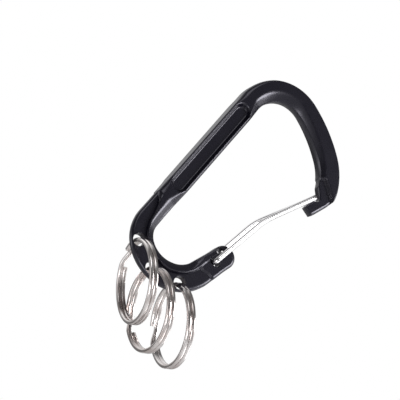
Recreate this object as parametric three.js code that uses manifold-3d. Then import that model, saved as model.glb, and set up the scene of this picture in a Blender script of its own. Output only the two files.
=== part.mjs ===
// A wire-gate carabiner keyring: a one-piece forged frame, a bent-wire gate and three split rings.
// Millimetres, +Z up. The frame's plane is XZ and its front face looks towards -Y. The origin is the
// point that it hangs by: the top of the bow's inner edge, halfway through the frame's thickness.
//
// The frame is drawn in its own plate coordinates: u across, v up along the middle of the spine and
// w out of the front face, with u = v = 0 at the foot of the spine.

import * as THREE from "three";
import { mergeVertices } from "three/addons/utils/BufferGeometryUtils.js";
import Module from "manifold-3d";

// ---- Driving dimensions ----

const LEAN = 40.2; // how far the spine leans from upright as the keyring hangs, degrees

// The line through the middle of the frame's section, out from the foot of the spine each way.
// A leg is a straight of that length, or an arc of that radius and sweep in degrees.
const UPPER_LEGS = [
  { length: 50.9 }, // spine
  { radius: 11.85, sweep: 104 }, // shoulder of the bow
  { radius: 43, sweep: 20 }, // roof of the bow
  { radius: 18, sweep: 42 }, // down to the nose
  { radius: 6, sweep: 26 }, // nose
  { length: 3.7 }, // beak
];
const LOWER_LEGS = [
  { radius: 9, sweep: 58 }, // heel of the ring bow
  { radius: 11.8, sweep: 108 }, // ring bow
  { length: 9.3 }, // tab
];

// Half widths of the frame, outside and inside the line, by distance from the foot of the spine.
// Distances are positive up the spine and negative round the ring bow.
const WIDTHS = [
  { at: -40.6, out: 3.5, in: 3.5 }, // centre of the tab's round end
  { at: -38, out: 3.5, in: 3.5 },
  { at: -31.3, out: 3.9, in: 3.9 },
  { at: -20, out: 4.0, in: 4.0 },
  { at: -3, out: 3.4, in: 3.4 },
  { at: 4, out: 3.3, in: 3.3 },
  { at: 52, out: 3.3, in: 3.3 },
  { at: 72, out: 2.95, in: 2.95 },
  { at: 97.4, out: 2.95, in: 2.95 },
  { at: 99.6, out: 2.8, in: 1.9 }, // top of the notch
  { at: 101.2, out: 2.1, in: 1.1 },
  { at: 102.5, out: 1.5, in: 1.0 }, // foot of the notch
  { at: 103.8, out: 1.35, in: 2.3 }, // lip
  { at: 106.2, out: 1.15, in: 2.4 },
  { at: 107.3, out: 0.6, in: 1.8 }, // end of the beak
];

const BODY_HALF = 2.8; // half thickness of the spine and the bow
const FLANGE_HALF = 1.2; // half thickness of the ring flange
const TAB_HALF = 1.8; // half thickness of the tab that the gate turns in
const BEAK_HALF = 1.5; // half thickness of the beak
const EDGE = 0.5; // chamfer round the frame's edges

const POCKET = { from: 11.6, to: 48.4, half: 1.95, draft: 0.8, floor: 1.3 };

// Width of the ring flange in from the frame's outer edge. It starts as a point beside the spine.
const FLANGE = [
  { at: 8.1, wide: 0 },
  { at: 5, wide: 2.3 },
  { at: 1.3, wide: 3.4 },
  { at: -2.5, wide: 4.0 },
  { at: -8, wide: 4.6 },
  { at: -14, wide: 4.9 },
  { at: -33.4, wide: 4.9 },
];
const TAB_FROM = -33.2; // where the tab's flat face starts

// The nose is thinned from this slanting border down to the end of the beak.
const NOSE_BORDER = [
  { u: 29.4, v: 49.0 },
  { u: 30.6, v: 49.9 },
  { u: 32.0, v: 50.2 },
  { u: 33.9, v: 49.2 },
  { u: 36.4, v: 47.7 },
  { u: 39.5, v: 45.6 },
];
const BELOW_BEAK = [
  { u: 39.5, v: 35 },
  { u: 28, v: 35 },
];

const RING_HOLES = [-7.3, -15.4, -24.2]; // along the ring bow
const RING_HOLE_INSET = 2.45; // hole centre in from the outer edge
const RING_HOLE_RADIUS = 1.9;
const HOLE_SIDES = 20;

const GATE_WIRE = 1.6;
const GATE_GAP = 0.2; // play round the gate's ends in their holes
const GATE_FRONT_END = { u: 22.85, v: 4.95 }; // where the front leg turns into the tab
const GATE_BACK_END = { u: 22.95, v: 8.95 }; // and the back leg, a little further up
const GATE_FRONT_KNEE = { u: 25.9, v: 25.7 };
const GATE_BACK_KNEE = { u: 25.3, v: 25.9 };
const GATE_TOP = { u: 33.2, v: 44.1 }; // where the loop crosses behind the beak
const GATE_SPREAD = 2.9; // from the middle plane to each leg
const GATE_END_REACH = 2.0; // how far past the middle plane each end goes through the tab
const GATE_END_BEND = 1.2; // length given up each way at the bends into the tab
const GATE_KNEE_BEND = 3; // and at the knees
const GATE_TOP_BEND = 2; // and at the loop's corners
const GATE_OPENS = 30; // degrees
const GATE_STEPS = 110;

const RING_OUTER = 12.5; // outer radius of a split ring
const RING_WIRE = 1.25; // the coiled wire is square with rounded corners
const RING_WIRE_ROUND = 0.4;
const RING_PLAY = 0.06; // between the two turns
const RING_HANG = 0.25; // the wire sits this far below the middle of its hole
const RING_STEP = 26; // degrees over which the wire crosses from one turn to the other
const RING_END_GAP = 2; // degrees from the crossing to each end of the wire
const RING_STEPS = 72;
// Yaw of each ring about the vertical, the place of its crossing and how far back it has swung, in
// degrees, and how far along its hole it sits.
const RINGS = [
  { name: "split_ring_1", yaw: -2.5, crossing: 132, swing: 0, shift: -0.15 },
  { name: "split_ring_2", yaw: 3.5, crossing: 188, swing: 0, shift: 0.15 },
  { name: "split_ring_3", yaw: 0, crossing: 200, swing: 16, shift: -0.1 },
];

const CHORD = 1.6; // longest step along the frame's curves
const CLOSEST = 0.2; // least distance along the line between two stations of a stretch
const CLOSEST_TO_END = 0.05; // and between a station and an end of the stretch
const TAB_END_STEP = 15; // degrees between the points of the tab's round end
const CUT_PAST = 1; // how far a cutter reaches past the surface that it enters
const MERGE = 1e-4; // vertices closer than this are one

// ---- Finishes ----

const FRAME_FINISH = new THREE.MeshStandardMaterial({ color: 0x17161c, roughness: 0.32, metalness: 0.4 });
const GATE_FINISH = new THREE.MeshStandardMaterial({ color: 0xcfcfd1, roughness: 0.18, metalness: 1 });
const RING_FINISH = new THREE.MeshStandardMaterial({ color: 0xc9c2bd, roughness: 0.12, metalness: 1 });

// ---- Solids ----

const wasm = await Module();
wasm.setup();

const radians = THREE.MathUtils.degToRad;

function solid(geometry) {
  const bare = geometry.index ? geometry.toNonIndexed() : geometry.clone();
  bare.deleteAttribute("normal");
  bare.deleteAttribute("uv");
  const merged = mergeVertices(bare, MERGE);
  const vertProperties = merged.attributes.position.array;
  const triVerts = new Uint32Array(merged.index.array);
  return new wasm.Manifold(new wasm.Mesh({ numProp: 3, vertProperties, triVerts }));
}

function geometryOf(made) {
  const { vertProperties, triVerts } = made.getMesh();
  const geometry = new THREE.BufferGeometry();
  geometry.setAttribute("position", new THREE.BufferAttribute(vertProperties, 3));
  geometry.setIndex(new THREE.BufferAttribute(triVerts, 1));
  geometry.computeVertexNormals();
  return geometry;
}

// ---- The line through the frame ----

// Follows legs out from the foot of the spine. turn is -1 for arcs to the right and 1 to the left.
// Each station has its place, heading and distance.
function walk(legs, heading, turn) {
  const stations = [{ u: 0, v: 0, heading, run: 0 }];
  for (const leg of legs) {
    const start = stations.at(-1);
    const length = leg.length ?? leg.radius * radians(leg.sweep);
    const steps = Math.ceil(length / CHORD);
    for (let i = 1; i <= steps; i++) {
      const run = (length * i) / steps;
      const bend = leg.radius ? (turn * run) / leg.radius : 0;
      const chord = bend ? 2 * leg.radius * Math.sin(Math.abs(bend) / 2) : run;
      const along = start.heading + bend / 2;
      const u = start.u + chord * Math.cos(along);
      const v = start.v + chord * Math.sin(along);
      stations.push({ u, v, heading: start.heading + bend, run: start.run + run });
    }
  }
  return stations;
}

// One line from the tab to the beak, with headings that all point that way.
const lower = walk(LOWER_LEGS, -Math.PI / 2, 1).slice(1).reverse();
const LINE = [
  ...lower.map((s) => ({ ...s, heading: s.heading + Math.PI, run: -s.run })),
  ...walk(UPPER_LEGS, Math.PI / 2, -1),
];

// Value of key at run, straight between the rows of a table that is ordered by at.
function between(rows, key, run) {
  const sorted = [...rows].sort((a, b) => a.at - b.at);
  if (run <= sorted[0].at) return sorted[0][key];
  const next = sorted.findIndex((row) => row.at >= run);
  if (next < 0) return sorted.at(-1)[key];
  const share = (run - sorted[next - 1].at) / (sorted[next].at - sorted[next - 1].at);
  return THREE.MathUtils.lerp(sorted[next - 1][key], sorted[next][key], share);
}

// The station at a distance along the line.
function stationAt(run) {
  const next = LINE.findIndex((s) => s.run >= run);
  if (next <= 0) return LINE[0];
  const [a, b] = [LINE[next - 1], LINE[next]];
  const share = (run - a.run) / (b.run - a.run);
  const mix = (key) => THREE.MathUtils.lerp(a[key], b[key], share);
  return { u: mix("u"), v: mix("v"), heading: mix("heading"), run };
}

// The point beside a station, out being towards the frame's outer edge.
function beside(station, out) {
  const u = station.u - out * Math.sin(station.heading);
  const v = station.v + out * Math.cos(station.heading);
  return new THREE.Vector2(u, v);
}

const outWidth = (run) => between(WIDTHS, "out", run);
const inWidth = (run) => between(WIDTHS, "in", run);

// ---- Frame ----

// Stations of the line between two distances, with one at each end and at each row of a table.
function stretch(from, to, rows = []) {
  const marks = LINE.map((s) => s.run).concat(rows.map((row) => row.at));
  const inside = marks.filter((run) => run > from + CLOSEST_TO_END && run < to - CLOSEST_TO_END);
  inside.sort((a, b) => a - b);
  const spaced = inside.filter((run, i) => i === 0 || run - inside[i - 1] > CLOSEST);
  return [from, ...spaced, to].map(stationAt);
}

function frameOutline() {
  const stations = stretch(LINE[0].run, LINE.at(-1).run, WIDTHS);
  const outside = stations.map((s) => beside(s, outWidth(s.run)));
  const inside = stations.map((s) => beside(s, -inWidth(s.run)));
  const end = LINE[0];
  const tabEnd = [];
  for (let angle = TAB_END_STEP; angle < 180; angle += TAB_END_STEP) {
    const turned = end.heading + Math.PI / 2 + radians(angle);
    const reach = outWidth(end.run);
    tabEnd.push(new THREE.Vector2(end.u + reach * Math.cos(turned), end.v + reach * Math.sin(turned)));
  }
  return new THREE.Shape([...outside, ...inside.reverse(), ...tabEnd.reverse()]);
}

// A plate with the given outline from one height to another.
function plate(shape, bottom, top) {
  const slab = new THREE.ExtrudeGeometry(shape, { depth: top - bottom, bevelEnabled: false });
  return slab.translate(0, 0, bottom);
}

// Cuts the same shape out of the front and the back, down to a height above the middle plane.
function cutBothFaces(body, shape, height) {
  const front = solid(plate(shape, height, BODY_HALF + CUT_PAST));
  const back = solid(plate(shape, -BODY_HALF - CUT_PAST, -height));
  return body.subtract(front).subtract(back);
}

function pocketCutter() {
  const { from, to, half, draft, floor } = POCKET;
  const shape = new THREE.Shape();
  shape.absarc(0, from + half + draft, half, Math.PI, 2 * Math.PI);
  shape.absarc(0, to - half - draft, half, 0, Math.PI);
  const bevel = { bevelSize: draft, bevelThickness: BODY_HALF - floor, bevelSegments: 1 };
  const cutter = new THREE.ExtrudeGeometry(shape, { depth: CUT_PAST, curveSegments: 8, ...bevel });
  return cutter.translate(0, 0, BODY_HALF);
}

function flangeShape() {
  const rim = stretch(FLANGE.at(-1).at, FLANGE[0].at, FLANGE);
  const border = rim.map((s) => beside(s, outWidth(s.run) - between(FLANGE, "wide", s.run)));
  const beyond = rim.map((s) => beside(s, outWidth(s.run) + CUT_PAST));
  return new THREE.Shape([...border, ...beyond.reverse()]);
}

function tabShape() {
  const stations = stretch(LINE[0].run, TAB_FROM);
  const reach = 6; // past the tab's edges all round
  const onward = new THREE.Vector2(-Math.cos(LINE[0].heading), -Math.sin(LINE[0].heading));
  const cap = [beside(LINE[0], reach), beside(LINE[0], -reach)];
  const points = [
    ...stations.map((s) => beside(s, reach)),
    ...stations.map((s) => beside(s, -reach)).reverse(),
    cap[1].clone().addScaledVector(onward, reach),
    cap[0].clone().addScaledVector(onward, reach),
  ];
  return new THREE.Shape(points);
}

function noseShape() {
  return new THREE.Shape([...NOSE_BORDER, ...BELOW_BEAK].map(({ u, v }) => new THREE.Vector2(u, v)));
}

function hole(centre, radius) {
  const cylinder = new THREE.CylinderGeometry(radius, radius, 3 * BODY_HALF, HOLE_SIDES);
  cylinder.rotateX(Math.PI / 2);
  return solid(cylinder.translate(centre.u ?? centre.x, centre.v ?? centre.y, 0));
}

const gatePivot = {
  u: (GATE_FRONT_END.u + GATE_BACK_END.u) / 2,
  v: (GATE_FRONT_END.v + GATE_BACK_END.v) / 2,
};

function turnedAboutPivot(point, degrees) {
  const arm = new THREE.Vector2(point.u - gatePivot.u, point.v - gatePivot.v);
  arm.rotateAround(new THREE.Vector2(), radians(degrees));
  return { u: gatePivot.u + arm.x, v: gatePivot.v + arm.y };
}

function ringHole(run) {
  return beside(stationAt(run), outWidth(run) - RING_HOLE_INSET);
}

function makeFrame() {
  const depth = 2 * (BODY_HALF - EDGE);
  const bevel = { bevelSize: EDGE, bevelThickness: EDGE, bevelOffset: -EDGE, bevelSegments: 1 };
  const blank = new THREE.ExtrudeGeometry(frameOutline(), { depth, ...bevel });
  let body = solid(blank.translate(0, 0, -depth / 2));
  body = cutBothFaces(body, flangeShape(), FLANGE_HALF);
  body = cutBothFaces(body, tabShape(), TAB_HALF);
  body = cutBothFaces(body, noseShape(), BEAK_HALF);
  body = body.subtract(solid(pocketCutter()));
  body = body.subtract(solid(pocketCutter().rotateY(Math.PI)));
  for (const run of RING_HOLES) body = body.subtract(hole(ringHole(run), RING_HOLE_RADIUS));
  // The gate's two ends are off its pivot, so each hole is drawn out along the arc that its end follows.
  const stops = 4;
  for (let i = 0; i <= stops; i++) {
    const opened = (GATE_OPENS * i) / stops;
    for (const end of [GATE_FRONT_END, GATE_BACK_END]) {
      body = body.subtract(hole(turnedAboutPivot(end, opened), GATE_WIRE / 2 + GATE_GAP));
    }
  }
  return new THREE.Mesh(geometryOf(body), FRAME_FINISH);
}

// ---- Wire gate ----

// A path of straights through the points, with each corner rounded off.
function roundedPath(corners) {
  const path = new THREE.CurvePath();
  let from = corners[0].point;
  for (let i = 1; i < corners.length - 1; i++) {
    const { point, round } = corners[i];
    const inward = corners[i - 1].point.clone().sub(point).setLength(round);
    const onward = corners[i + 1].point.clone().sub(point).setLength(round);
    const entry = point.clone().add(inward);
    const exit = point.clone().add(onward);
    path.add(new THREE.LineCurve3(from, entry));
    path.add(new THREE.QuadraticBezierCurve3(entry, point, exit));
    from = exit;
  }
  path.add(new THREE.LineCurve3(from, corners.at(-1).point));
  return path;
}

function makeGate() {
  const at = ({ u, v }, w) => new THREE.Vector3(u, v, w);
  const corners = [
    { point: at(GATE_FRONT_END, -GATE_END_REACH) },
    { point: at(GATE_FRONT_END, GATE_SPREAD), round: GATE_END_BEND },
    { point: at(GATE_FRONT_KNEE, GATE_SPREAD), round: GATE_KNEE_BEND },
    { point: at(GATE_TOP, GATE_SPREAD), round: GATE_TOP_BEND },
    { point: at(GATE_TOP, -GATE_SPREAD), round: GATE_TOP_BEND },
    { point: at(GATE_BACK_KNEE, -GATE_SPREAD), round: GATE_KNEE_BEND },
    { point: at(GATE_BACK_END, -GATE_SPREAD), round: GATE_END_BEND },
    { point: at(GATE_BACK_END, GATE_END_REACH) },
  ];
  const section = new THREE.Shape().absarc(0, 0, GATE_WIRE / 2, 0, 2 * Math.PI);
  const sweep = { steps: GATE_STEPS, extrudePath: roundedPath(corners), curveSegments: 4 };
  const wire = new THREE.ExtrudeGeometry(section, { ...sweep, bevelEnabled: false });
  return new THREE.Mesh(geometryOf(solid(wire)), GATE_FINISH);
}

// ---- Split rings ----

// The middle of the wire of a split ring: two flat turns side by side, joined by one crossing.
// The ring's axis is X and its centre is the origin.
class SplitRingCurve extends THREE.Curve {
  constructor(crossing) {
    super();
    this.crossing = crossing;
  }

  getPoint(t, target = new THREE.Vector3()) {
    const start = RING_STEP / 2 + RING_END_GAP;
    const turned = THREE.MathUtils.lerp(start, 720 - start, t);
    const angle = radians(turned + this.crossing);
    const over = THREE.MathUtils.smoothstep(turned, 360 - RING_STEP / 2, 360 + RING_STEP / 2);
    const side = (0.5 - over) * (RING_WIRE + RING_PLAY);
    const radius = RING_OUTER - RING_WIRE / 2;
    return target.set(side, -radius * Math.cos(angle), radius * Math.sin(angle));
  }
}

function wireSection() {
  const half = RING_WIRE / 2;
  const flat = half - RING_WIRE_ROUND;
  const shape = new THREE.Shape();
  for (const [x, y, quarter] of [[1, 1, 0], [-1, 1, 1], [-1, -1, 2], [1, -1, 3]]) {
    const start = (quarter * Math.PI) / 2;
    shape.absarc(x * flat, y * flat, RING_WIRE_ROUND, start, start + Math.PI / 2);
  }
  return shape;
}

// A ring on a group that stands where its wire crosses the hole and that is swung about there.
function makeRing(ring, run) {
  const sweep = { steps: RING_STEPS, extrudePath: new SplitRingCurve(ring.crossing), curveSegments: 1 };
  const wire = new THREE.ExtrudeGeometry(wireSection(), { ...sweep, bevelEnabled: false });
  const mesh = new THREE.Mesh(geometryOf(solid(wire)), RING_FINISH);
  mesh.name = ring.name;
  mesh.position.z = RING_WIRE / 2 - RING_OUTER;
  const hung = partPoint(ringHole(run));
  const swung = new THREE.Group();
  swung.position.set(hung.x + ring.shift, 0, hung.z - RING_HANG);
  swung.rotation.set(radians(ring.swing), 0, radians(ring.yaw), "ZYX");
  swung.add(mesh);
  return swung;
}

// ---- Assembly ----

// The highest point of the inner edge as the frame leans: on the shoulder's arc, above its centre.
function hangPoint() {
  const shoulder = UPPER_LEGS[1];
  const reach = shoulder.radius - inWidth(UPPER_LEGS[0].length);
  const lean = radians(LEAN);
  const u = shoulder.radius - reach * Math.sin(lean);
  const v = UPPER_LEGS[0].length + reach * Math.cos(lean);
  return new THREE.Vector2(u, v);
}

const hang = hangPoint();

// A point of the plate, in the part's own frame.
function partPoint(point) {
  const lean = radians(LEAN);
  const [u, v] = [point.x - hang.x, point.y - hang.y];
  const x = u * Math.cos(lean) + v * Math.sin(lean);
  return new THREE.Vector3(x, 0, v * Math.cos(lean) - u * Math.sin(lean));
}

const keyring = new THREE.Group();

const leaning = new THREE.Group();
leaning.rotation.y = radians(LEAN);
keyring.add(leaning);

const upright = new THREE.Group();
upright.rotation.x = Math.PI / 2;
leaning.add(upright);

const drawn = new THREE.Group();
drawn.position.set(-hang.x, -hang.y, 0);
upright.add(drawn);

const frame = makeFrame();
frame.name = "frame";
drawn.add(frame);

const gate = makeGate();
gate.name = "wire_gate";
drawn.add(gate);

RINGS.forEach((ring, i) => keyring.add(makeRing(ring, RING_HOLES[i])));

export default keyring;
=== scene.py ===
from math import cos, pi, radians, sin

import bmesh
import bpy
import numpy as np
from mathutils import Matrix, Vector


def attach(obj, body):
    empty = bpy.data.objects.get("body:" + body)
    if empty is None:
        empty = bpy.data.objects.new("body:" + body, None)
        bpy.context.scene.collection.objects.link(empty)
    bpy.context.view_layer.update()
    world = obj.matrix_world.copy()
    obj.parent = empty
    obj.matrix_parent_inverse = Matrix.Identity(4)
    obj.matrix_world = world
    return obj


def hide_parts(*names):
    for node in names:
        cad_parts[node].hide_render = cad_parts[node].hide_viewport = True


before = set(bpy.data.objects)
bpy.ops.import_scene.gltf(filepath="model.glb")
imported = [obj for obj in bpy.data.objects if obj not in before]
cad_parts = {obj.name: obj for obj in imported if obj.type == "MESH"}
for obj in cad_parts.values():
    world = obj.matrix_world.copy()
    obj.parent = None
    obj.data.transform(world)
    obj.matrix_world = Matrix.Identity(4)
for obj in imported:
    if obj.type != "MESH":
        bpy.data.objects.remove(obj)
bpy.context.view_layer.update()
mm = 0.001


# camera: a long lens, to the left of the front face and below it
camera = {
    "azimuth": -27,
    "elevation": -15,
    "aim": Vector((-0.02506, 0, -0.03234)),
    "distance": 1.2,
    "width": 0.1156,  # what the picture takes in across
    "sensor": 36,
    "clip": 0.01,
}


def makeCamera():
    a, e = radians(camera["azimuth"]), radians(camera["elevation"])
    back = Vector((sin(a) * cos(e), -cos(a) * cos(e), sin(e)))
    data = bpy.data.cameras.new("camera")
    data.sensor_width = camera["sensor"]
    data.lens = camera["sensor"] * camera["distance"] / camera["width"]
    data.clip_start = camera["clip"]
    obj = bpy.data.objects.new("camera", data)
    obj.location = camera["aim"] + back * camera["distance"]
    obj.rotation_euler = back.to_track_quat("Z", "Y").to_euler()
    bpy.context.collection.objects.link(obj)
    bpy.context.scene.camera = obj


makeCamera()
print("camera placed")

# node helpers


def group(kind, name, inputs, outputs):
    tree = bpy.data.node_groups.new(name, kind)
    for socketName, socketType, value in inputs:
        socket = tree.interface.new_socket(socketName, in_out="INPUT", socket_type=socketType)
        if value is not None:
            socket.default_value = value
    for socketName, socketType in outputs:
        tree.interface.new_socket(socketName, in_out="OUTPUT", socket_type=socketType)
    return tree, tree.nodes.new("NodeGroupInput"), tree.nodes.new("NodeGroupOutput")


def plug(tree, socket, value):
    if isinstance(value, bpy.types.NodeSocket):
        tree.links.new(value, socket)
    else:
        socket.default_value = value


def add(tree, kind, settings=None, **inputs):
    node = tree.nodes.new(kind)
    for name, value in (settings or {}).items():
        setattr(node, name, value)
    for name, value in inputs.items():
        plug(tree, node.inputs[name.replace("_", " ")], value)
    return node


def math(tree, operation, *values):
    node = tree.nodes.new("ShaderNodeMath")
    node.operation = operation
    for socket, value in zip(node.inputs, values):
        plug(tree, socket, value)
    return node.outputs[0]


def ramp(tree, factor, low, high, start=0.0, end=1.0):  # low to high as factor goes from start to end
    node = add(tree, "ShaderNodeMapRange", {"clamp": True})
    names = ("Value", "From Min", "From Max", "To Min", "To Max")
    for name, value in zip(names, (factor, start, end, low, high)):
        plug(tree, node.inputs[name], value)
    return node.outputs["Result"]


# shared material effects
effects = {
    "broader": 30.0,  # how much larger the patches of gloss are than the grain
    "lineTurns": (0.4, 1.5, 2.6),  # one set of hairlines for each turn, in radians
    "lineLean": 0.6,  # tilt of a set, as a share of its turn
    "lineTwist": 0.3,
    "lineStretch": 14.0,  # how much longer a hairline is than wide
    "lineMask": (0.64, 0.72),  # noise levels where a hairline starts and where it is full
    "patchMask": (0.45, 0.7),  # the same for the patches that hold hairlines
}


def makeGrain():  # fine even grain in the height, broad patches in the gloss
    tree, start, end = group(
        "ShaderNodeTree",
        "fine grain",
        [
            ("Vector", "NodeSocketVector", None),
            ("Size", "NodeSocketFloat", 0.0002),
            ("Roughness", "NodeSocketFloat", 0.3),
            ("Spread", "NodeSocketFloat", 0.05),
        ],
        [("Height", "NodeSocketFloat"), ("Roughness", "NodeSocketFloat")],
    )
    scale = math(tree, "DIVIDE", 1.0, start.outputs["Size"])
    fine = add(tree, "ShaderNodeTexNoise", Vector=start.outputs["Vector"], Scale=scale, Detail=3.0)
    broadScale = math(tree, "DIVIDE", scale, effects["broader"])
    broad = add(tree, "ShaderNodeTexNoise", Vector=start.outputs["Vector"], Scale=broadScale, Detail=4.0)
    swing = math(tree, "SUBTRACT", broad.outputs["Fac"], 0.5)
    swing = math(tree, "MULTIPLY", swing, start.outputs["Spread"])
    tree.links.new(fine.outputs["Fac"], end.inputs["Height"])
    tree.links.new(math(tree, "ADD", start.outputs["Roughness"], swing), end.inputs["Roughness"])
    return tree


def makeScratches():  # hairlines that run three ways, kept to patches by a broad noise
    tree, start, end = group(
        "ShaderNodeTree",
        "hairlines",
        [
            ("Vector", "NodeSocketVector", None),
            ("Size", "NodeSocketFloat", 0.002),
            ("Amount", "NodeSocketFloat", 0.3),
        ],
        [("Mask", "NodeSocketFloat")],
    )
    scale = math(tree, "DIVIDE", 1.0, start.outputs["Size"])
    patches = add(tree, "ShaderNodeTexNoise", Vector=start.outputs["Vector"], Scale=scale, Detail=2.0)
    lines = None
    stretch = effects["lineStretch"]
    for turn in effects["lineTurns"]:
        turned = add(tree, "ShaderNodeMapping", Vector=start.outputs["Vector"])
        turned.inputs["Rotation"].default_value = (turn, effects["lineLean"] * turn, effects["lineTwist"])
        turned.inputs["Scale"].default_value = (1.0, stretch, stretch)
        streak = add(tree, "ShaderNodeTexNoise", Vector=turned.outputs[0], Scale=scale, Detail=5.0)
        line = ramp(tree, streak.outputs["Fac"], 0.0, 1.0, *effects["lineMask"])
        lines = line if lines is None else math(tree, "MAXIMUM", lines, line)
    thin = ramp(tree, patches.outputs["Fac"], 0.0, 1.0, *effects["patchMask"])
    mask = math(tree, "MULTIPLY", math(tree, "MULTIPLY", lines, thin), start.outputs["Amount"])
    tree.links.new(mask, end.inputs["Mask"])
    return tree


grain = makeGrain()
hairlines = makeScratches()


def newMaterial(name):
    material = bpy.data.materials.new(name)
    material.use_nodes = True
    tree = material.node_tree
    shader = tree.nodes["Principled BSDF"]
    place = tree.nodes.new("ShaderNodeTexCoord").outputs["Object"]
    return material, tree, shader, place


def useGroup(tree, shared, **inputs):
    node = add(tree, "ShaderNodeGroup", {"node_tree": shared})
    for name, value in inputs.items():
        plug(tree, node.inputs[name], value)
    return node


def mixColours(tree, shader, factor, first, second):
    mix = add(tree, "ShaderNodeMix", {"data_type": "RGBA", "clamp_factor": True}, Factor=factor)
    plug(tree, mix.inputs[6], first)  # the colour sockets, A and B
    plug(tree, mix.inputs[7], second)
    tree.links.new(mix.outputs[2], shader.inputs["Base Color"])


def raiseGrain(tree, shader, surface, look):
    bump = add(tree, "ShaderNodeBump", Height=surface.outputs["Height"], Strength=look["bump"])
    bump.inputs["Distance"].default_value = look["relief"]
    tree.links.new(bump.outputs[0], shader.inputs["Normal"])


blackFinish = {
    "colour": (0.0035, 0.0031, 0.0075, 1),
    "rubbed": (0.022, 0.021, 0.028, 1),
    "roughness": 0.27,
    "spread": 0.08,
    "grain": 0.00016,
    "relief": 0.000006,
    "bump": 0.5,
    "hairlineSize": 0.004,
    "hairlines": 0.5,
    "hairlineWear": 0.4,  # how far a hairline counts as rubbed
    "wearScale": 420.0,  # noise that breaks up the wear along the edges
    "wearMask": (0.5, 0.75),
    "polish": 0.08,  # how much smoother a rubbed spot is
    "ior": 1.55,
    "sheen": (0.90, 0.88, 1.0, 1),
}


def makeBlackFinish():
    look = blackFinish
    material, tree, shader, place = newMaterial("black anodised")
    gloss = {"Size": look["grain"], "Roughness": look["roughness"], "Spread": look["spread"]}
    surface = useGroup(tree, grain, Vector=place, **gloss)
    marks = useGroup(tree, hairlines, Vector=place, Size=look["hairlineSize"], Amount=look["hairlines"])
    edge = add(tree, "ShaderNodeAttribute", {"attribute_name": "edge"}).outputs["Fac"]
    patch = add(tree, "ShaderNodeTexNoise", Vector=place, Scale=look["wearScale"], Detail=4.0)
    worn = math(tree, "MULTIPLY", edge, ramp(tree, patch.outputs["Fac"], 0.0, 1.0, *look["wearMask"]))
    scuffed = math(tree, "MULTIPLY", marks.outputs["Mask"], look["hairlineWear"])
    worn = math(tree, "ADD", worn, scuffed)
    mixColours(tree, shader, worn, look["colour"], look["rubbed"])
    rough = math(tree, "SUBTRACT", surface.outputs["Roughness"], math(tree, "MULTIPLY", worn, look["polish"]))
    tree.links.new(rough, shader.inputs["Roughness"])
    raiseGrain(tree, shader, surface, look)
    shader.inputs["IOR"].default_value = look["ior"]
    shader.inputs["Specular Tint"].default_value = look["sheen"]
    return material


metalFinish = {
    "grain": 0.00025,
    "spread": 0.08,
    "relief": 0.000004,
    "bump": 0.4,
    "hairlineSize": 0.003,
    "scuff": 0.25,  # how much duller a hairline is
    "cloudScale": 160.0,  # noise that the two tones follow
    "cloudMask": (0.4, 0.65),
}

gateFinish = {
    "colour": (0.82, 0.81, 0.82, 1),
    "tint": (0.72, 0.71, 0.72, 1),
    "roughness": 0.18,
    "hairlines": 0.5,
}

ringFinish = {
    "colour": (0.80, 0.765, 0.755, 1),
    "tint": (0.62, 0.55, 0.53, 1),
    "roughness": 0.16,
    "hairlines": 0.6,
}


def makeMetal(name, finish):  # a plated or drawn metal with faint hairlines
    look = metalFinish | finish
    material, tree, shader, place = newMaterial(name)
    gloss = {"Size": look["grain"], "Roughness": look["roughness"], "Spread": look["spread"]}
    surface = useGroup(tree, grain, Vector=place, **gloss)
    marks = useGroup(tree, hairlines, Vector=place, Size=look["hairlineSize"], Amount=look["hairlines"])
    cloud = add(tree, "ShaderNodeTexNoise", Vector=place, Scale=look["cloudScale"], Detail=3.0)
    tone = ramp(tree, cloud.outputs["Fac"], 0.0, 1.0, *look["cloudMask"])
    mixColours(tree, shader, tone, look["colour"], look["tint"])
    scuffed = math(tree, "MULTIPLY", marks.outputs["Mask"], look["scuff"])
    tree.links.new(math(tree, "ADD", surface.outputs["Roughness"], scuffed), shader.inputs["Roughness"])
    raiseGrain(tree, shader, surface, look)
    shader.inputs["Metallic"].default_value = 1.0
    return material


blackMetal = makeBlackFinish()
gateSteel = makeMetal("polished steel wire", gateFinish)
ringNickel = makeMetal("nickel plate", ringFinish)
print("materials made")

# frame plate coordinates, in mm: u across, v up the middle of the spine, w out of the front face
plate = {
    "lean": 40.2,  # degrees that the spine leans from upright when it hangs
    # each leg of the line: its length, or its radius and sweep, then the grid's step along it
    "upper": [
        (50.9, 0, 0.26),
        (11.85, 104, 0.26),
        (43, 20, 0.26),
        (18, 42, 0.26),
        (6, 26, 0.12),
        (3.7, 0, 0.26),
    ],
    "lower": [(9, 58, 0.12), (11.8, 108, 0.26), (9.3, 0, 0.12)],
    "shoulder": 1,  # which upper leg holds the hanging point
    "spineHalf": 3.3,  # half the spine's width
}


def walk(legs, heading, turn):  # stations (u, v, heading, run) out from the foot of the spine
    stations = [(0.0, 0.0, heading, 0.0)]
    for size, sweep, step in legs:
        length = size * radians(sweep) if sweep else size
        count = max(2, round(length / step))
        startU, startV, startHeading, startRun = stations[-1]
        for i in range(1, count + 1):
            run = length * i / count
            bend, chord = 0.0, run
            if sweep:
                bend = turn * run / size
                chord = 2 * size * sin(abs(bend) / 2)
            u = startU + chord * cos(startHeading + bend / 2)
            v = startV + chord * sin(startHeading + bend / 2)
            stations.append((u, v, startHeading + bend, startRun + run))
    return stations


def platePoint(u, v, w):  # plate coordinates in mm to the part's frame in metres
    lean = radians(plate["lean"])
    radius = plate["upper"][plate["shoulder"]][0]
    spineLength = plate["upper"][0][0]
    reach = radius - plate["spineHalf"]
    u = u - (radius - reach * sin(lean))
    v = v - (spineLength + reach * cos(lean))
    return mm * (u * cos(lean) + v * sin(lean)), -mm * w, mm * (v * cos(lean) - u * sin(lean))


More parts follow.
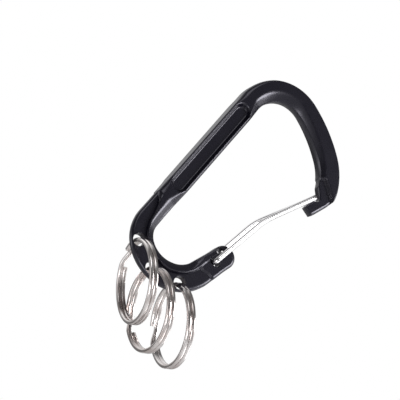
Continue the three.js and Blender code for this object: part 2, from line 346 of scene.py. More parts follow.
# the frame's section along its line: (run, value), runs in mm from the foot of the spine,
# below zero round the ring bow to the tab and above zero up the spine to the beak;
# out and in are half widths, crest is half the thickness, and a flange of -1 is none
section = {
    "out": [
        (-41, 3.5), (-38, 3.5), (-31.3, 3.9), (-20, 4.0), (-3, 3.4), (4, 3.3), (52, 3.3),
        (72, 2.95), (97.4, 2.95), (99.6, 2.8), (101.2, 2.1), (102.5, 1.5), (103.8, 1.35),
        (106.2, 1.15), (107.3, 0.75),
    ],
    "in": [
        (-41, 3.5), (-38, 3.5), (-31.3, 3.9), (-20, 4.0), (-3, 3.4), (4, 3.3), (52, 3.3),
        (72, 2.95), (97.4, 2.95), (99.6, 1.95), (101.2, 1.15), (102.5, 1.05), (103.6, 2.25),
        (106.2, 2.4), (107.3, 2.1),
    ],
    "crest": [
        (-36, 1.8), (-32, 2.1), (-27, 2.5), (-4, 2.55), (4, 2.5), (8, 2.6), (14, 2.8),
        (46, 2.8), (51, 2.65), (55, 2.7), (60, 2.8), (108, 2.8),
    ],
    "outRound": [
        (-41, 0.5), (0, 0.6), (4, 1.9), (9, 2.3), (14, 0.6), (46, 0.6), (51, 1.8), (56, 1.2),
        (60, 0.6), (108, 0.5),
    ],
    "inRound": [
        (-41, 0.5), (-35, 0.8), (-29, 2.0), (0, 2.3), (8, 2.6), (14, 0.75), (46, 0.75),
        (52, 2.4), (60, 2.7), (70, 2.3), (82, 1.6), (97, 1.1), (100, 0.5), (108, 0.5),
    ],
    "inDepth": [
        (-41, 0.5), (-35, 0.6), (-29, 1.6), (0, 1.8), (8, 1.9), (14, 0.75), (46, 0.75),
        (52, 1.9), (60, 2.0), (70, 1.7), (82, 1.3), (97, 1.0), (100, 0.5), (108, 0.5),
    ],
    "flange": [
        (-41, 4.9), (-14, 4.9), (-8, 4.6), (-2.5, 4.0), (1.3, 3.4), (5, 2.3), (8.1, 0.0),
        (9, -1.0), (110, -1.0),
    ],
}

frameShape = {
    "top": 2.8,  # the first five are half thicknesses, in mm
    "least": 0.3,
    "flangeHalf": 1.2,
    "tabHalf": 1.8,
    "beakHalf": 1.5,
    "edgeRound": 0.45,
    "outerRound": 0.95,  # the same on the outer side of the flange, the tab and the beak
    "beadRound": 0.7,  # the bead's shoulder above the flange
    "outDrop": 1.3,  # the most that the outer edge drops where there is no flange
    "blend": 0.28,  # fillets where surfaces meet
    "crease": {"straight": 0.72, "soft": 0.2},  # the inner edge: share of straight slope, softness on top
    "sectionSoft": 0.5,  # how far the section's corners are softened
    "flangeOver": 1.5,  # the flange's width at which the bead has its full shoulder
    "flangeEnd": 8.6,  # run where the flange has merged into the spine
    "tabRidge": [(-4, -31.6), (0, -32.4), (1.3, -33.2), (4, -33.7)],  # run of the tab's step at each n
    "tabRidgeWidth": 0.8,  # how far along the bar the step takes
    "tabFlat": -34.5,  # run beyond which nothing stands above the tab
    "pocket": {
        "from": 11.6,
        "to": 48.4,
        "half": 2.62,
        "draft": 0.8,
        "floor": 1.3,
        "floorFillet": 0.35,
        "rimFillet": 0.3,
    },
    "noseFrom": 92,  # run beyond which the nose step may cut
    "noseStep": [  # the line, in plate coordinates, beyond which the beak is thin
        (28.5, 47.6), (29.4, 49.0), (30.6, 49.9), (32.0, 50.2), (33.9, 49.2), (36.4, 47.7),
        (39.5, 45.6), (42, 43.6),
    ],
    "noseSlope": 2.2,
    "noseFillet": 0.3,
    "shadeLimit": 38,  # edges sharper than this stay sharp, in degrees
}

frameGrid = {
    "bands": (6, 6, 15, 9, 17),  # columns in each band across, from the inner edge to the outer edge
    "rim": 0.833,  # the lines between the bands, as shares of the half width
    "middle": 0.59,
    "narrowest": 0.06,
    "gather": 0.65,  # how far columns draw in to the sides of the bands that hold the crease lines
    "tabFrom": -34,  # towards the tab the outer lines leave the flange's border
    "tabOver": 1.5,
    "capRows": 16,  # rows in the tab's round end
    "capEnd": 0.0001,  # half width of its last row
    "weld": 0.004,
}

far = 9.0  # mm, further than any rounding reaches


def along(name, run):  # a section value at each run, with its corners softened
    runs, values = zip(*section[name])
    soft = frameShape["sectionSoft"]
    shifts = (-soft, -soft / 2, 0, soft / 2, soft)
    return sum(np.interp(run + shift, runs, values) for shift in shifts) / len(shifts)


def softMax(a, b, k):
    h = np.maximum(k - np.abs(a - b), 0) / k
    return np.maximum(a, b) + h * h * k / 4


def softMin(a, b, k):
    return -softMax(-a, -b, k)


def smooth(x):
    x = np.clip(x, 0, 1)
    return x * x * (3 - 2 * x)


def quarter(x):  # how far a quarter circle has dropped, x from 0 at its top to 1 at its side
    return 1 - np.sqrt(np.maximum(1 - x * x, 0))


def rounded(distance, width, depth):  # how far a rounded edge has dropped at a distance in from it
    return depth * quarter(1 - np.clip(distance / width, 0, 1))


def creased(distance, width, depth):  # the same with a crease at the top and a straighter slope
    crease = frameShape["crease"]
    x = 1 - np.maximum(distance / width, 0)
    slope = np.clip(softMax(x, 0 * x, crease["soft"]), 0, 1)
    return depth * (crease["straight"] * slope + (1 - crease["straight"]) * quarter(np.clip(x, 0, 1)))


def pastLine(u, v, points):  # signed distance beyond a line of points, positive on its right
    best = np.full(u.shape, 1e9)
    side = np.zeros(u.shape)
    for (au, av), (bu, bv) in zip(points, points[1:]):
        du, dv = bu - au, bv - av
        t = np.clip(((u - au) * du + (v - av) * dv) / (du * du + dv * dv), 0, 1)
        pu, pv = u - au - t * du, v - av - t * dv
        distance = np.hypot(pu, pv)
        nearer = distance < best - 1e-9
        best = np.where(nearer, distance, best)
        side = np.where(nearer, np.sign(pu * dv - pv * du), side)
    return best * side


def frontHeight(run, n, u, v, out, inn, endDistance):
    shape = frameShape
    outDistance = out - n
    inDistance = n + inn
    nearest = np.minimum(inDistance, endDistance)
    edge, outer = shape["edgeRound"], shape["outerRound"]
    plateEdge = np.maximum(rounded(nearest, edge, edge), rounded(outDistance, outer, outer))
    # the flange and the tab: flat plates with a step between them
    ridge = np.interp(n, *zip(*shape["tabRidge"]))
    tabShare = smooth((ridge - run) / shape["tabRidgeWidth"] + 0.5)
    flat = shape["flangeHalf"] + (shape["tabHalf"] - shape["flangeHalf"]) * tabShare - plateEdge
    # the body: a bead whose outer side stops at the flange
    crest = along("crest", run)
    flange = along("flange", run)
    beadOut = outDistance - np.maximum(flange, 0)
    onFlange = smooth(flange / shape["flangeOver"])
    outRound = along("outRound", run) * (1 - onFlange) + shape["beadRound"] * onFlange
    outDepth = np.minimum(outRound, shape["outDrop"]) * (1 - onFlange) + crest * onFlange
    body = crest - rounded(beadOut, outRound, outDepth)
    body = body - creased(inDistance, along("inRound", run), along("inDepth", run))
    body = np.where(beadOut < 0, -1.0, body)
    body = np.where(run < shape["tabFlat"], np.minimum(body, flat), body)
    # the pocket
    pocket = shape["pocket"]
    low, high = pocket["from"] + pocket["half"], pocket["to"] - pocket["half"]
    inside = pocket["half"] - np.hypot(np.maximum(np.maximum(low - run, run - high), 0), n)
    slope = (shape["top"] - pocket["floor"]) / pocket["draft"]
    wall = pocket["floor"] + (pocket["draft"] - inside) * slope
    hollow = softMax(wall, pocket["floor"] + 0 * inside, pocket["floorFillet"])
    body = softMin(body, hollow, pocket["rimFillet"])
    # the nose thins to the beak
    past = np.where(run > shape["noseFrom"], pastLine(u, v, shape["noseStep"]), -far)
    beak = shape["beakHalf"] + np.maximum(-past, 0) * shape["noseSlope"]
    body = softMin(body, beak, shape["noseFillet"])
    onBeak = (run > shape["noseFrom"]) & (past > shape["noseFillet"])
    body = np.where(onBeak, np.minimum(body, shape["beakHalf"] - plateEdge), body)
    # the flange only reaches under the body where there is one
    underBody = run < shape["flangeEnd"]
    plateUnder = np.where(underBody & (flange > -0.5), flat, -1.0)
    return np.where(underBody, softMax(body, plateUnder, shape["blend"]), body)


def acrossLines(run, out, inn):  # places across each station, gathered along the rims and the flange's border
    rim, middle, least = frameGrid["rim"], frameGrid["middle"], frameGrid["narrowest"]
    border = out - np.maximum(along("flange", run), 0)
    onTab = smooth((frameGrid["tabFrom"] - run) / frameGrid["tabOver"])
    outer = rim * out * onTab + np.minimum(rim * out, border) * (1 - onTab)
    shoulder = np.minimum(middle * out, border - frameShape["beadRound"])
    shoulder = middle * out * onTab + shoulder * (1 - onTab)
    shoulder = np.maximum(shoulder, -middle * inn + least * inn)
    outer = np.maximum(outer, shoulder + least * out)
    lines = [-inn, -rim * inn, -middle * inn, shoulder, outer, out]
    columns = [lines[0]]
    for i, count in enumerate(frameGrid["bands"]):
        gather = frameGrid["gather"] if i > 1 else 0
        for j in range(1, count + 1):
            even = j / count
            share = (1 - gather) * even + gather * (1 - cos(pi * even)) / 2
            columns.append(lines[i] + (lines[i + 1] - lines[i]) * share)
    return np.stack(columns, 1)


def makeFramePiece():
    lower = walk(plate["lower"], -pi / 2, 1)[1:][::-1]
    line = [(u, v, h + pi, -run) for u, v, h, run in lower] + walk(plate["upper"], pi / 2, -1)
    u, v, heading, run = (np.array(column) for column in zip(*line))
    out, inn = along("out", run), along("in", run)
    # the tab's round end: stations past its centre, each one narrower
    capCount = frameGrid["capRows"]
    angles = np.linspace(pi / 2, 0, capCount + 1)[:-1]
    capRadius = out[0]
    past = capRadius * np.sin(angles)
    u = np.concatenate([u[0] - past * cos(heading[0]), u])
    v = np.concatenate([v[0] - past * sin(heading[0]), v])
    heading = np.concatenate([np.full(capCount, heading[0]), heading])
    run = np.concatenate([run[0] - past, run])
    narrow = np.maximum(capRadius * np.cos(angles), frameGrid["capEnd"])
    out, inn = np.concatenate([narrow, out]), np.concatenate([narrow, inn])
    n = acrossLines(run, out, inn)
    columns = n.shape[1]
    gridRun, gridOut, gridIn = (np.repeat(x[:, None], columns, 1) for x in (run, out, inn))
    gridU = u[:, None] - n * np.sin(heading)[:, None]
    gridV = v[:, None] + n * np.cos(heading)[:, None]
    # distance to the nearest end of the bar: the tab's rim and the beak's end
    onCap = gridRun < run[capCount]
    tabRim = capRadius - np.hypot(gridU - u[capCount], gridV - v[capCount])
    endDistance = np.where(onCap, tabRim, far)
    endDistance = np.where(gridRun > frameShape["noseFrom"], run[-1] - gridRun, endDistance)
    gridOut = np.where(onCap, n + np.maximum(endDistance, 0), gridOut)
    gridIn = np.where(onCap, np.maximum(endDistance, 0) - n, gridIn)
    height = frontHeight(gridRun, n, gridU, gridV, gridOut, gridIn, endDistance)
    height = np.clip(height, frameShape["least"], frameShape["top"])
    print("frame heights", float(height.min()), float(height.max()))

    bm = bmesh.new()
    rows = len(run)
    front, back = [], []
    for us, vs, heights in zip(gridU, gridV, height):
        front.append([bm.verts.new(platePoint(*point)) for point in zip(us, vs, heights)])
        back.append([bm.verts.new(platePoint(*point)) for point in zip(us, vs, -heights)])
    for i in range(rows - 1):
        for j in range(columns - 1):
            bm.faces.new((front[i][j], front[i][j + 1], front[i + 1][j + 1], front[i + 1][j]))
            bm.faces.new((back[i][j], back[i + 1][j], back[i + 1][j + 1], back[i][j + 1]))
        for j in (0, columns - 1):
            bm.faces.new((front[i][j], front[i + 1][j], back[i + 1][j], back[i][j]))
    for i in (0, rows - 1):
        for j in range(columns - 1):
            bm.faces.new((front[i][j], back[i][j], back[i][j + 1], front[i][j + 1]))
    bmesh.ops.remove_doubles(bm, verts=bm.verts, dist=frameGrid["weld"] * mm)
    bmesh.ops.recalc_face_normals(bm, faces=bm.faces)
    mesh = bpy.data.meshes.new("carabinerFrame")
    bm.to_mesh(mesh)
    bm.free()
    piece = bpy.data.objects.new("carabiner_frame", mesh)
    bpy.context.collection.objects.link(piece)
    return piece, line


# the frame's round holes, in mm
holes = {
    "ringRuns": (-7.3, -15.4, -24.2),
    "ringInset": 2.45,  # from the frame's outer edge to a hole's centre
    "ringRadius": 1.9,
    "chamfer": 0.22,
    "sides": 56,
    "reach": 4,  # half the length of the drill
}

# the gate, in mm, and the slots in the tab that its ends turn in
gate = {
    "wire": 1.6,
    "gap": 0.2,  # round the wire in its slots
    "frontEnd": (22.85, 4.95),
    "backEnd": (22.95, 8.95),
    "frontKnee": (25.9, 25.7),
    "backKnee": (25.3, 25.9),
    "top": (33.2, 44.1),
    "spread": 2.9,  # each side's distance from the middle plane
    "endReach": 2.0,  # how far each end goes through and past the middle plane
    "endBend": 1.2,  # how far before each corner its bend starts
    "kneeBend": 3.0,
    "topBend": 2.0,
    "bendSteps": 16,
    "opens": 30,  # degrees
    "slotFlare": 0.12,  # the chamfer at the ends of each slot
    "slotPast": 0.6,  # how far its cutter stands out of the tab
    "slotSteps": 12,
    "endRound": 0.35,
    "sides": 24,
    "step": 0.15,
}


def loftCutter(name, outlines):  # a closed solid through outlines of plate points, from bottom to top
    bm = bmesh.new()
    rings = [[bm.verts.new(platePoint(*point)) for point in outline] for outline in outlines]
    count = len(rings[0])
    for a, b in zip(rings, rings[1:]):
        for i in range(count):
            j = (i + 1) % count
            bm.faces.new((a[i], a[j], b[j], b[i]))
    bm.faces.new(rings[0])
    bm.faces.new(rings[-1])
    bmesh.ops.recalc_face_normals(bm, faces=bm.faces)
    mesh = bpy.data.meshes.new(name)
    bm.to_mesh(mesh)
    bm.free()
    cutter = bpy.data.objects.new(name, mesh)
    bpy.context.collection.objects.link(cutter)
    return cutter


def drillCutter(name, u, v):
    half, radius, chamfer = frameShape["flangeHalf"], holes["ringRadius"], holes["chamfer"]
    wide, reach = radius + chamfer, holes["reach"]
    profile = [(wide, -reach), (wide, -half), (radius, -half + chamfer)]
    profile += [(radius, half - chamfer), (wide, half), (wide, reach)]
    angles = [2 * pi * i / holes["sides"] for i in range(holes["sides"])]
    return loftCutter(name, [[(u + r * cos(a), v + r * sin(a), w) for a in angles] for r, w in profile])


def arc(centre, radius, start, sweep, first, last):  # points first to last along an arc
    angles = [start + sweep * i / gate["slotSteps"] for i in range(first, last + 1)]
    return [(centre[0] + radius * cos(a), centre[1] + radius * sin(a)) for a in angles]


def slotCutter(name, end):  # a slot along the arc that the wire's end follows
    arm = Vector((end[0] - gatePivot[0], end[1] - gatePivot[1]))
    reach, start = arm.length, np.arctan2(arm.y, arm.x)
    sweep, steps = radians(gate["opens"]), gate["slotSteps"]
    opened = (gatePivot[0] + reach * cos(start + sweep), gatePivot[1] + reach * sin(start + sweep))
    half, flare = frameShape["tabHalf"], gate["slotFlare"]
    levels = [(flare, half + gate["slotPast"]), (flare, half), (0, half - flare)]
    levels = [(grow, -w) for grow, w in levels] + levels[::-1]
    outlines = []
    for grow, w in levels:
        r = gate["wire"] / 2 + gate["gap"] + grow
        outline = arc(gatePivot, reach + r, start, sweep, 0, steps)
        outline += arc(opened, r, start + sweep, pi, 1, steps - 1)
        outline += arc(gatePivot, reach - r, start + sweep, -sweep, 0, steps)
        outline += arc(end, r, start + pi, pi, 1, steps - 1)
        outlines.append([(x, y, w) for x, y in outline])
    return loftCutter(name, outlines)


def stationNear(line, run):
    u, v, heading, runs = zip(*line)
    return [float(np.interp(run, runs, values)) for values in (u, v, heading)]


def holeCentre(line, run):
    u, v, heading = stationNear(line, run)
    side = float(np.interp(run, *zip(*section["out"]))) - holes["ringInset"]
    return u - side * sin(heading), v + side * cos(heading)


gatePivot = tuple((a + b) / 2 for a, b in zip(gate["frontEnd"], gate["backEnd"]))


def cutHoles(piece, line):
    cutters = []
    for i, run in enumerate(holes["ringRuns"]):
        cutters.append(drillCutter(f"ringHole{i}", *holeCentre(line, run)))
    cutters.append(slotCutter("frontSlot", gate["frontEnd"]))
    cutters.append(slotCutter("backSlot", gate["backEnd"]))
    bpy.context.view_layer.objects.active = piece
    for cutter in cutters:
        cut = piece.modifiers.new(cutter.name, "BOOLEAN")
        cut.object = cutter
        cut.operation = "DIFFERENCE"
        cut.solver = "EXACT"
    bpy.context.view_layer.update()
    done = bpy.data.meshes.new_from_object(piece.evaluated_get(bpy.context.evaluated_depsgraph_get()))
    piece.modifiers.clear()
    piece.data = done
    for cutter in cutters:
        bpy.data.objects.remove(cutter)


def shadeByAngle(mesh, limit):  # smooth everywhere but on edges sharper than the limit
    bm = bmesh.new()
    bm.from_mesh(mesh)
    for face in bm.faces:
        face.smooth = True
    for e in bm.edges:
        e.smooth = len(e.link_faces) == 2 and e.calc_face_angle(0) < limit
    bm.to_mesh(mesh)
    bm.free()


rubbing = {
    "gain": 2.5,  # wear for each radian that an edge bends
    "from": 0.6,  # radians per mm, the bend at which an edge starts to rub
    "shortest": 0.05,  # mm, an edge counts as at least this long
}


def markEdges(mesh):  # an attribute that rises to 1 on convex edges, where a finish rubs first
    bm = bmesh.new()
    bm.from_mesh(mesh)
    bm.normal_update()
    values = []
    for vert in bm.verts:
        sharp = 0.0
        for e in vert.link_edges:
            if len(e.link_faces) != 2 or not e.is_convex:
                continue
            angle = e.calc_face_angle(0)
            if angle / max(e.calc_length() / mm, rubbing["shortest"]) > rubbing["from"]:
                sharp = max(sharp, min(angle * rubbing["gain"], 1.0))
        values.append(sharp)
    bm.free()
    attribute = mesh.attributes.new("edge", "FLOAT", "POINT")
    attribute.data.foreach_set("value", values)


framePiece, frameLine = makeFramePiece()
cutHoles(framePiece, frameLine)
shadeByAngle(framePiece.data, radians(frameShape["shadeLimit"]))
markEdges(framePiece.data)
framePiece.data.materials.clear()
framePiece.data.materials.append(blackMetal)
print("frame", len(framePiece.data.polygons), "faces")


# the gate: its path is laid out here, and the tree sweeps the wire along it and rounds its ends


def gatePath():
    def at(point, w):
        return np.array([point[0], point[1], w])

    s, reach, steps = gate["spread"], gate["endReach"], gate["bendSteps"]
    corners = [
        (at(gate["frontEnd"], -reach), 0),
        (at(gate["frontEnd"], s), gate["endBend"]),
        (at(gate["frontKnee"], s), gate["kneeBend"]),
        (at(gate["top"], s), gate["topBend"]),
        (at(gate["top"], -s), gate["topBend"]),
        (at(gate["backKnee"], -s), gate["kneeBend"]),
        (at(gate["backEnd"], -s), gate["endBend"]),
        (at(gate["backEnd"], reach), 0),
    ]
    points = [corners[0][0]]
    for (before, _), (corner, bend), (after, _) in zip(corners, corners[1:], corners[2:]):
        start = corner + (before - corner) / np.linalg.norm(before - corner) * bend
        end = corner + (after - corner) / np.linalg.norm(after - corner) * bend
        for i in range(steps + 1):
            t = i / steps
            points.append((1 - t) ** 2 * start + 2 * t * (1 - t) * corner + t * t * end)
    points.append(corners[-1][0])
    return [Vector(platePoint(*point)) for point in points]


def makeWireTree():
    tree, start, end = group(
        "GeometryNodeTree",
        "bent wire",
        [
            ("Path", "NodeSocketGeometry", None),
            ("Diameter", "NodeSocketFloat", 0.0016),
            ("End Round", "NodeSocketFloat", 0.0003),
            ("Sides", "NodeSocketInt", 20),
            ("Step", "NodeSocketFloat", 0.0003),
            ("Material", "NodeSocketMaterial", None),
        ],
        [("Wire", "NodeSocketGeometry")],
    )
    toCurve = add(tree, "GeometryNodeMeshToCurve", Mesh=start.outputs["Path"])
    even = add(tree, "GeometryNodeResampleCurve", {"mode": "LENGTH"}, Curve=toCurve.outputs[0])
    plug(tree, even.inputs["Length"], start.outputs["Step"])
    # each end draws in as a quarter circle
    spot = tree.nodes.new("GeometryNodeSplineParameter")
    whole = tree.nodes.new("GeometryNodeSplineLength")
    left = math(tree, "SUBTRACT", whole.outputs["Length"], spot.outputs["Length"])
    near = math(tree, "MINIMUM", spot.outputs["Length"], left)
    x = math(tree, "SUBTRACT", 1.0, math(tree, "DIVIDE", near, start.outputs["End Round"]))
    x = math(tree, "MAXIMUM", x, 0.0)
    curve = math(tree, "SQRT", math(tree, "SUBTRACT", 1.0, math(tree, "MULTIPLY", x, x)))
    drawn = math(tree, "MULTIPLY", math(tree, "SUBTRACT", 1.0, curve), start.outputs["End Round"])
    full = math(tree, "MULTIPLY", start.outputs["Diameter"], 0.5)
    radius = math(tree, "SUBTRACT", full, drawn)
    circle = add(tree, "GeometryNodeCurvePrimitiveCircle", {"mode": "RADIUS"}, Radius=1.0)
    plug(tree, circle.inputs["Resolution"], start.outputs["Sides"])
    outline = circle.outputs[0]
    swept = add(tree, "GeometryNodeCurveToMesh", Curve=even.outputs[0], Profile_Curve=outline, Scale=radius)
    plug(tree, swept.inputs["Fill Caps"], True)
    smoothed = add(tree, "GeometryNodeSetShadeSmooth", Geometry=swept.outputs[0])
    real = add(tree, "GeometryNodeRealizeInstances", Geometry=smoothed.outputs[0])
    painted = add(tree, "GeometryNodeSetMaterial", Geometry=real.outputs[0])
    plug(tree, painted.inputs["Material"], start.outputs["Material"])
    tree.links.new(painted.outputs[0], end.inputs[0])
    return tree


def setInput(modifier, name, value):
    for item in modifier.node_group.interface.items_tree:
        if item.item_type == "SOCKET" and item.in_out == "INPUT" and item.name == name:
            modifier[item.identifier] = value
            return
    raise KeyError(name)


baking = {
    "weld": 0.0001,  # mm
    "shadeLimit": 50,  # degrees
}


def bake(name, base, tree, values):  # runs a tree on a base mesh and keeps the result as a plain mesh
    carrier = bpy.data.objects.new(name, base)
    bpy.context.collection.objects.link(carrier)
    modifier = carrier.modifiers.new("shape", "NODES")
    modifier.node_group = tree
    for key, value in values.items():
        setInput(modifier, key, value)
    bpy.context.view_layer.update()
    made = bpy.data.meshes.new_from_object(carrier.evaluated_get(bpy.context.evaluated_depsgraph_get()))
    carrier.modifiers.clear()
    carrier.data = made
    bm = bmesh.new()
    bm.from_mesh(made)
    bmesh.ops.remove_doubles(bm, verts=bm.verts, dist=baking["weld"] * mm)
    bmesh.ops.recalc_face_normals(bm, faces=bm.faces)
    bm.to_mesh(made)
    bm.free()
    shadeByAngle(made, radians(baking["shadeLimit"]))
    return carrier


def makeGatePiece():
    points = gatePath()
    base = bpy.data.meshes.new("gatePath")
    base.from_pydata(points, [(i, i + 1) for i in range(len(points) - 1)], [])
    values = {
        "Diameter": gate["wire"] * mm,
        "End Round": gate["endRound"] * mm,
        "Sides": gate["sides"],
        "Step": gate["step"] * mm,
        "Material": gateSteel,
    }
    return bake("gate_wire", base, makeWireTree(), values)


gatePiece = makeGatePiece()
print("gate", len(gatePiece.data.polygons), "faces")

# split rings, in mm and degrees
ring = {
    "outer": 12.5,
    "wire": 1.25,
    "corner": 0.42,
    "play": 0.06,  # between the two turns
    "hang": 0.25,  # how far a ring's top wire lies below the centre of its hole
    "step": 26,  # the stretch over which one turn crosses to the other
    "margin": 2,  # from the crossing to each cut end
    "points": 560,
    "placed": [
        {
            "name": "ring_left",
            "node": "split_ring_1",
            "body": "ring_1",
            "yaw": -2.5,
            "crossing": 132,
            "swing": 0,
            "shift": -0.15,
        },
        {
            "name": "ring_middle",
            "node": "split_ring_2",
            "body": "ring_2",
            "yaw": 3.5,
            "crossing": 188,
            "swing": 0,
            "shift": 0.15,
        },
        {
            "name": "ring_right",
            "node": "split_ring_3",
            "body": "ring_3",
            "yaw": 0,
            "crossing": 200,
            "swing": 16,
            "shift": -0.1,
        },
    ],
}


def makeCoilTree():
    tree, start, end = group(
        "GeometryNodeTree",
        "split ring",
        [
            ("Geometry", "NodeSocketGeometry", None),
            ("Radius", "NodeSocketFloat", 0.0119),
            ("Wire", "NodeSocketFloat", 0.00125),
            ("Corner", "NodeSocketFloat", 0.0004),
            ("Play", "NodeSocketFloat", 0.00006),
            ("Crossing", "NodeSocketFloat", 0.0),
            ("Step", "NodeSocketFloat", 26.0),
            ("Margin", "NodeSocketFloat", 2.0),
            ("Points", "NodeSocketInt", 560),
            ("Place", "NodeSocketVector", None),
            ("Turn", "NodeSocketVector", None),
            ("Material", "NodeSocketMaterial", None),
        ],
        [("Ring", "NodeSocketGeometry")],
    )
    inp = start.outputs
    line = tree.nodes.new("GeometryNodeCurvePrimitiveLine")
    even = add(tree, "GeometryNodeResampleCurve", {"mode": "COUNT"}, Curve=line.outputs[0])
    plug(tree, even.inputs["Count"], inp["Points"])
    t = tree.nodes.new("GeometryNodeSplineParameter").outputs["Factor"]
    half = math(tree, "MULTIPLY", inp["Step"], 0.5)
    first = math(tree, "ADD", half, inp["Margin"])
    span = math(tree, "SUBTRACT", 720.0, math(tree, "MULTIPLY", first, 2.0))
    turned = math(tree, "ADD", first, math(tree, "MULTIPLY", t, span))
    angle = math(tree, "RADIANS", math(tree, "ADD", turned, inp["Crossing"]))
    over = add(tree, "ShaderNodeMapRange", {"interpolation_type": "SMOOTHSTEP"}, Value=turned)
    plug(tree, over.inputs["From Min"], math(tree, "SUBTRACT", 360.0, half))
    plug(tree, over.inputs["From Max"], math(tree, "ADD", 360.0, half))
    side = math(tree, "SUBTRACT", over.outputs["Result"], 0.5)
    side = math(tree, "MULTIPLY", side, math(tree, "ADD", inp["Wire"], inp["Play"]))
    spot = tree.nodes.new("ShaderNodeCombineXYZ")
    plug(tree, spot.inputs[0], math(tree, "MULTIPLY", inp["Radius"], math(tree, "COSINE", angle)))
    plug(tree, spot.inputs[1], math(tree, "MULTIPLY", inp["Radius"], math(tree, "SINE", angle)))
    plug(tree, spot.inputs[2], side)
    coil = add(tree, "GeometryNodeSetPosition", Geometry=even.outputs[0], Position=spot.outputs[0])
    upright = add(tree, "GeometryNodeSetCurveNormal", {"mode": "Z_UP"}, Curve=coil.outputs[0])
    square = add(tree, "GeometryNodeCurvePrimitiveQuadrilateral", {"mode": "RECTANGLE"})
    plug(tree, square.inputs["Width"], inp["Wire"])
    plug(tree, square.inputs["Height"], inp["Wire"])
    soft = add(tree, "GeometryNodeFilletCurve", {"mode": "POLY"}, Curve=square.outputs[0], Count=5)
    plug(tree, soft.inputs["Radius"], inp["Corner"])
    outline = soft.outputs[0]
    swept = add(tree, "GeometryNodeCurveToMesh", Curve=upright.outputs[0], Profile_Curve=outline)
    plug(tree, swept.inputs["Fill Caps"], True)
    placed = add(tree, "GeometryNodeTransform", Geometry=swept.outputs[0], Translation=inp["Place"])
    plug(tree, placed.inputs["Rotation"], inp["Turn"])
    real = add(tree, "GeometryNodeRealizeInstances", Geometry=placed.outputs[0])
    painted = add(tree, "GeometryNodeSetMaterial", Geometry=real.outputs[0], Material=inp["Material"])
    tree.links.new(painted.outputs[0], end.inputs[0])
    return tree


def makeRingPiece(tree, placed, run):
    u, v = holeCentre(frameLine, run)
    x, _, z = platePoint(u, v, 0)
    radius = ring["outer"] - ring["wire"] / 2
    axes = Matrix(((0, 0, -1), (-1, 0, 0), (0, 1, 0)))  # the coil's own axis becomes -X
    swing = Matrix.Rotation(radians(placed["swing"]), 3, "X")
    swung = Matrix.Rotation(radians(placed["yaw"]), 3, "Z") @ swing
    turn = (swung @ axes).to_euler()
    hung = Vector((x + placed["shift"] * mm, 0, z - ring["hang"] * mm))
    centre = hung - swung @ Vector((0, 0, radius * mm))
    base = bpy.data.meshes.new(placed["name"])
    values = {
        "Radius": radius * mm,
        "Wire": ring["wire"] * mm,
        "Corner": ring["corner"] * mm,
        "Play": ring["play"] * mm,
        "Crossing": float(placed["crossing"]),
        "Step": float(ring["step"]),
        "Margin": float(ring["margin"]),
        "Points": ring["points"],
        "Place": centre,
        "Turn": Vector(turn),
        "Material": ringNickel,
    }
    return bake(placed["name"], base, tree, values)


coilTree = makeCoilTree()
ringRows = zip(ring["placed"], holes["ringRuns"])
ringPieces = [makeRingPiece(coilTree, placed, run) for placed, run in ringRows]
print("rings", [len(piece.data.polygons) for piece in ringPieces], "faces")

# what rides on what
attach(framePiece, "frame")
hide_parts("frame")
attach(gatePiece, "gate")
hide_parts("wire_gate")
for piece, placed in zip(ringPieces, ring["placed"]):
    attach(piece, placed["body"])
    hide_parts(placed["node"])

# the studio: a pale floor well below, a bright room and soft boxes
studio = {
    "floor": -0.42,
    "floorHalf": 3,
    "floorColour": (0.93, 0.93, 0.93, 1),
    "floorRoughness": 0.9,
    "room": [
        # way, brightness added, where its edge starts and ends (as the cosine off that way)
        ((0, 0, 1), 0.18, -2.0, -1.5),
        ((0.0, -0.76, 0.65), 2.2, 0.95, 0.985),
        ((-0.10, 0.55, 0.83), 0.9, 0.70, 0.95),
        ((-0.82, 0.36, -0.05), 2.0, 0.88, 0.97),
    ],
    "boxes": [
        # name, where from the aim, width, height, power
        ("right front box", (0.312, -0.24, -0.048), 0.18, 0.18, 1.3),
        ("right box", (0.39, 0.0, -0.09), 0.22, 0.22, 0.25),
        ("low right box", (0.262, 0.042, -0.27), 0.18, 0.18, 0.3),
        ("low left box", (-0.19, -0.26, -0.205), 0.13, 0.13, 0.30),
    ],
}


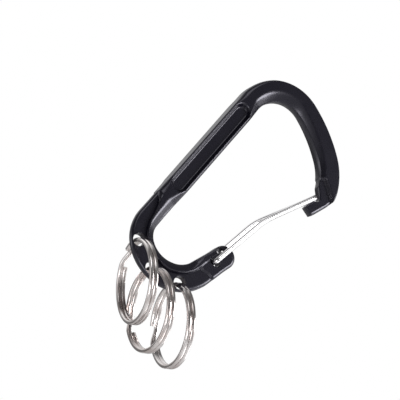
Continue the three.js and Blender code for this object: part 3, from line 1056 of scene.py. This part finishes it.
def makeFloor():
    bm = bmesh.new()
    bmesh.ops.create_grid(bm, x_segments=1, y_segments=1, size=studio["floorHalf"])
    bmesh.ops.translate(bm, verts=bm.verts, vec=(0, 0, studio["floor"]))
    mesh = bpy.data.meshes.new("floor")
    bm.to_mesh(mesh)
    bm.free()
    floor = bpy.data.objects.new("floor", mesh)
    bpy.context.collection.objects.link(floor)
    paper = bpy.data.materials.new("pale paper")
    paper.use_nodes = True
    shader = paper.node_tree.nodes["Principled BSDF"]
    shader.inputs["Base Color"].default_value = studio["floorColour"]
    shader.inputs["Roughness"].default_value = studio["floorRoughness"]
    mesh.materials.append(paper)


def makeRoom():
    world = bpy.data.worlds.new("studio room")
    world.use_nodes = True
    bpy.context.scene.world = world
    tree = world.node_tree
    shader = tree.nodes["Background"]
    way = tree.nodes.new("ShaderNodeTexCoord").outputs["Generated"]
    level = 0.0
    for toward, bright, start, end in studio["room"]:
        dot = add(tree, "ShaderNodeVectorMath", {"operation": "DOT_PRODUCT"})
        plug(tree, dot.inputs[0], way)
        plug(tree, dot.inputs[1], Vector(toward).normalized())
        level = math(tree, "ADD", level, ramp(tree, dot.outputs["Value"], 0.0, bright, start, end))
    seen = tree.nodes.new("ShaderNodeLightPath").outputs["Is Camera Ray"]
    level = math(tree, "ADD", math(tree, "MULTIPLY", level, math(tree, "SUBTRACT", 1.0, seen)), seen)
    shader.inputs["Color"].default_value = (1, 1, 1, 1)
    plug(tree, shader.inputs["Strength"], level)


def makeBoxes():
    for name, offset, width, height, power in studio["boxes"]:
        data = bpy.data.lights.new(name, "AREA")
        data.shape = "RECTANGLE"
        data.size, data.size_y, data.energy = width, height, power
        box = bpy.data.objects.new(name, data)
        box.location = camera["aim"] + Vector(offset)
        box.rotation_euler = Vector(offset).to_track_quat("Z", "Y").to_euler()
        box.visible_camera = False
        bpy.context.collection.objects.link(box)


makeFloor()
makeRoom()
makeBoxes()
bpy.context.scene.view_settings.view_transform = "Standard"
print("studio lit")
